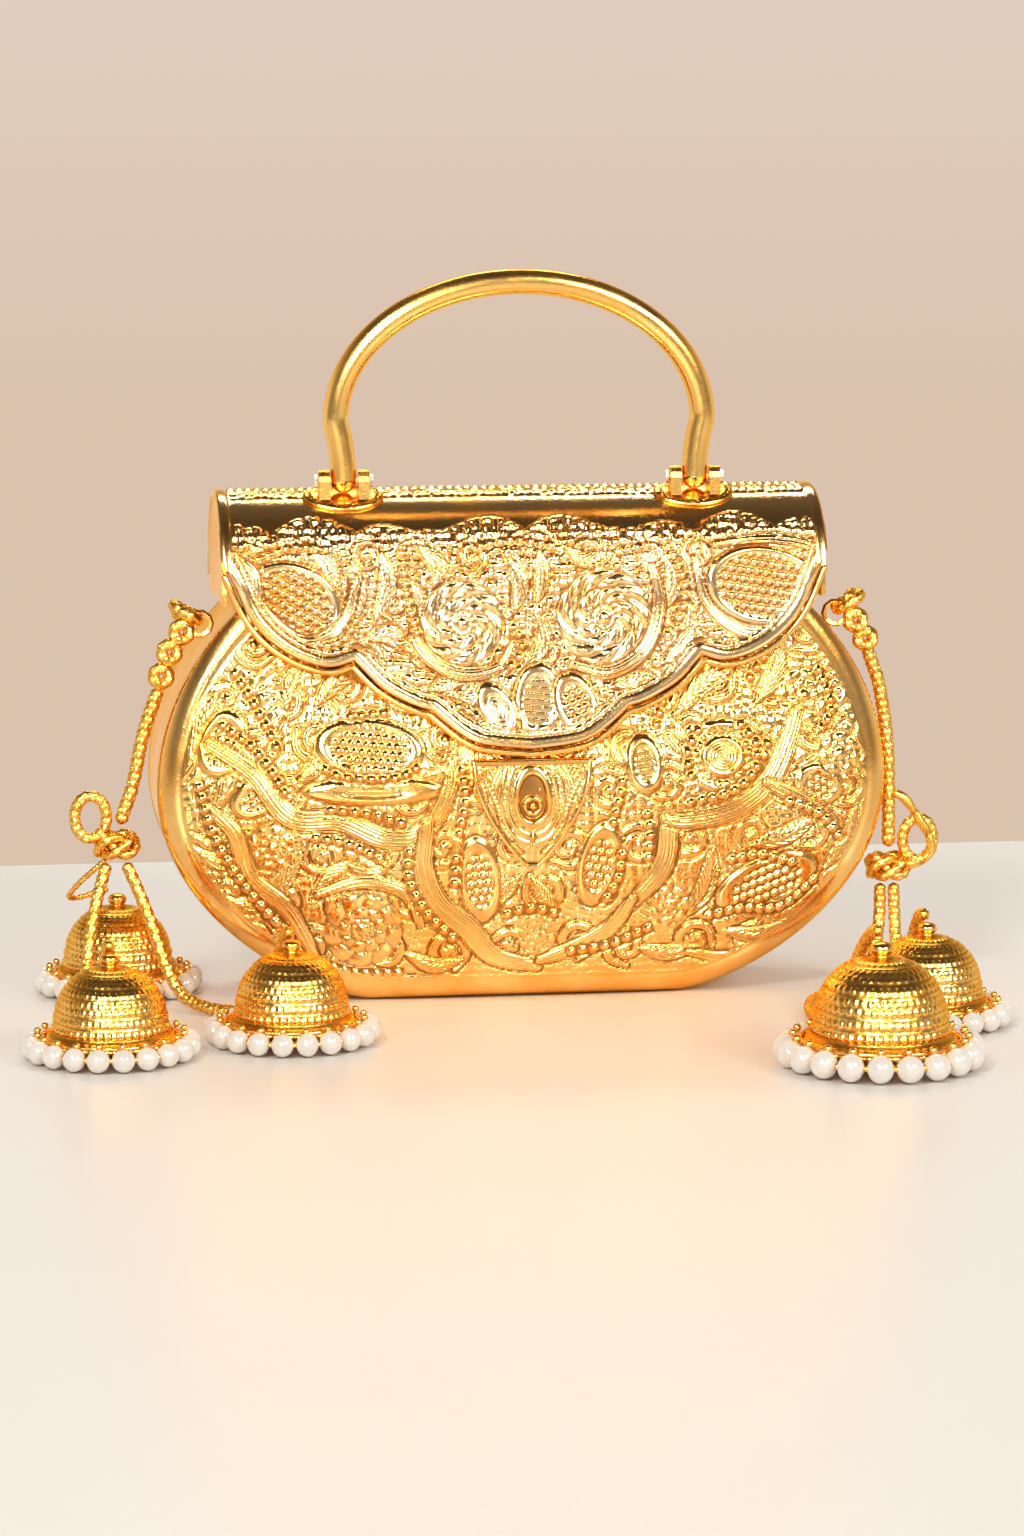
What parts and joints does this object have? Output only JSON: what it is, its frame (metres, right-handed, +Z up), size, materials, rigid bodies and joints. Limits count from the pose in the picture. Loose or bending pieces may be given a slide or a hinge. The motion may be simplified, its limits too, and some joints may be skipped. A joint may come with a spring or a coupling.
{
  "type": "potli bag",
  "caption": "Rigid metal clutch with a rolled, scalloped flap lid, a swinging bow handle and rope tassels with pearl-rimmed bells.",
  "frame": {"origin": "middle of the flat bottom, on the surface that the bag stands on", "axes": "+X to the wearer's right seen from the front, +Y towards the hinge side, +Z up"},
  "size_m": [0.2633, 0.1749, 0.1977],
  "materials": {
    "embossed_gold": "bright embossed gold plate with dark hollows",
    "smooth_gold": "polished gold plate",
    "bell_gold": "granulated gold plate",
    "rope": "twisted metallic thread with small beads",
    "steel": "bright drawn wire",
    "lining": "short velvet pile",
    "pearl": "pearl lustre"
  },
  "bodies": {
    "case": {"front_plate": "embossed_gold", "back_plate": "smooth_gold", "gusset_band": "smooth_gold", "lining": "lining", "hinge_leaf_case": "smooth_gold", "hinge_pin": "steel", "clasp_shield": "smooth_gold", "side_eye_left": "smooth_gold", "side_eye_right": "smooth_gold", "cord_left": "rope", "cord_right": "rope", "strand_left_a": "rope", "strand_left_b": "rope", "thread_left": "rope", "strand_right_a": "rope", "strand_right_b": "rope", "hitch_left": "rope", "hitch_right": "rope", "knot_left": "rope", "knot_right": "rope", "jhumka_left_a": "bell_gold", "jhumka_left_b": "bell_gold", "jhumka_left_c": "bell_gold", "jhumka_right_a": "bell_gold", "jhumka_right_b": "bell_gold", "pearls_left_a": "pearl", "pearls_left_b": "pearl", "pearls_left_c": "pearl", "pearls_right_a": "pearl", "pearls_right_b": "pearl"},
    "lid": {"lid_shell": "embossed_gold", "lid_edge_wire": "smooth_gold", "lid_end_left": "smooth_gold", "lid_end_right": "smooth_gold", "hinge_leaf_lid": "smooth_gold", "clasp_magnet": "steel", "handle_base_left": "embossed_gold", "handle_eye_left_inner": "smooth_gold", "handle_eye_left_outer": "smooth_gold", "handle_pin_left": "steel", "handle_base_right": "embossed_gold", "handle_eye_right_inner": "smooth_gold", "handle_eye_right_outer": "smooth_gold", "handle_pin_right": "steel"},
    "handle": {"handle_bow": "smooth_gold"}
  },
  "joints": [
    {"name": "lid_hinge", "type": "hinge", "parent": "case", "child": "lid", "pos_m": [0, 0.0282, 0.1105], "axis": [-1, 0, 0], "range_deg": [0, 105]},
    {"name": "handle_swing", "type": "hinge", "parent": "lid", "child": "handle", "pos_m": [0, -0.01, 0.1408], "axis": [1, 0, 0], "range_deg": [-70, 110]}
  ]
}
